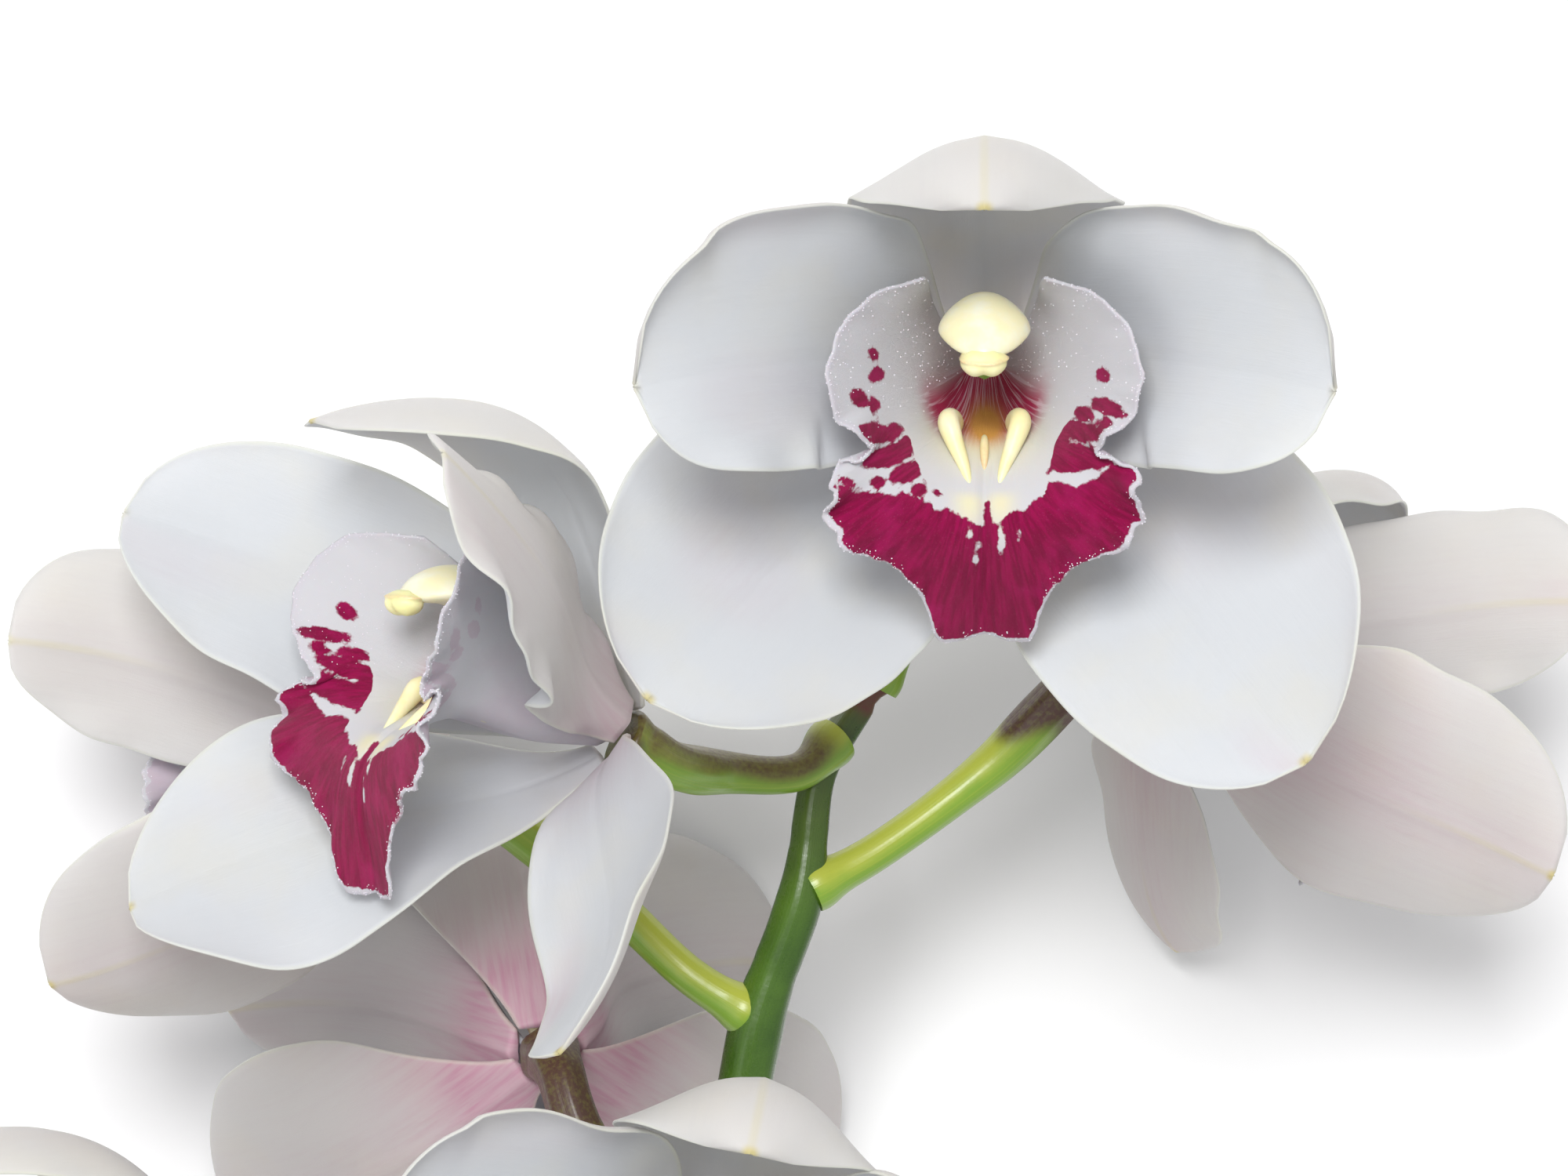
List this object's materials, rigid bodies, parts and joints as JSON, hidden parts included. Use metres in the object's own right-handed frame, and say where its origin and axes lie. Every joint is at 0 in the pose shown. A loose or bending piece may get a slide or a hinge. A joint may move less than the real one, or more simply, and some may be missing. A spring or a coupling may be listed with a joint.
{
  "type": "cut orchid spray",
  "caption": "Cut spray of large white orchids with magenta-marked lips on one arching green stem, lying down.",
  "frame": {"origin": "middle of the underside of the lying spray's box, on the surface it rests on", "axes": "+Y along the stem from its cut foot to the top flower, +Z up from the surface, towards the side that the top flower faces, +X to the right as seen from above with +Y up"},
  "size_m": [0.2552, 0.4298, 0.1456],
  "materials": {
    "petal": "cool white petal, satin, faint veins",
    "sepal": "white sepal, satin, faintly pink and green at tip and back",
    "lip": "magenta and white frosted lip with a pale margin",
    "column": "waxy cream yellow",
    "pedicel": "yellow-green, purple-brown towards the ovary, glossy",
    "stem": "dark mid-green, glossy"
  },
  "bodies": {
    "root": {"stem": "stem", "f1_dorsal_sepal": "sepal", "f1_lateral_sepal_left": "sepal", "f1_lateral_sepal_right": "sepal", "f1_petal_left": "petal", "f1_petal_right": "petal", "f1_lip": "lip", "f1_column": "column", "f1_pedicel": "pedicel", "f2_dorsal_sepal": "sepal", "f2_lateral_sepal_left": "sepal", "f2_lateral_sepal_right": "sepal", "f2_petal_left": "petal", "f2_petal_right": "petal", "f2_lip": "lip", "f2_column": "column", "f2_pedicel": "pedicel", "f3_dorsal_sepal": "sepal", "f3_lateral_sepal_left": "sepal", "f3_lateral_sepal_right": "sepal", "f3_petal_left": "petal", "f3_petal_right": "petal", "f3_lip": "lip", "f3_column": "column", "f3_pedicel": "pedicel", "f4_dorsal_sepal": "sepal", "f4_lateral_sepal_left": "sepal", "f4_lateral_sepal_right": "sepal", "f4_petal_left": "petal", "f4_petal_right": "petal", "f4_lip": "lip", "f4_column": "column", "f4_pedicel": "pedicel", "f5_dorsal_sepal": "sepal", "f5_lateral_sepal_left": "sepal", "f5_lateral_sepal_right": "sepal", "f5_petal_left": "petal", "f5_petal_right": "petal", "f5_lip": "lip", "f5_column": "column", "f5_pedicel": "pedicel", "f6_dorsal_sepal": "sepal", "f6_lateral_sepal_left": "sepal", "f6_lateral_sepal_right": "sepal", "f6_petal_left": "petal", "f6_petal_right": "petal", "f6_lip": "lip", "f6_column": "column", "f6_pedicel": "pedicel", "f7_dorsal_sepal": "sepal", "f7_lateral_sepal_left": "sepal", "f7_lateral_sepal_right": "sepal", "f7_petal_left": "petal", "f7_petal_right": "petal", "f7_lip": "lip", "f7_column": "column", "f7_pedicel": "pedicel"}
  },
  "joints": []
}
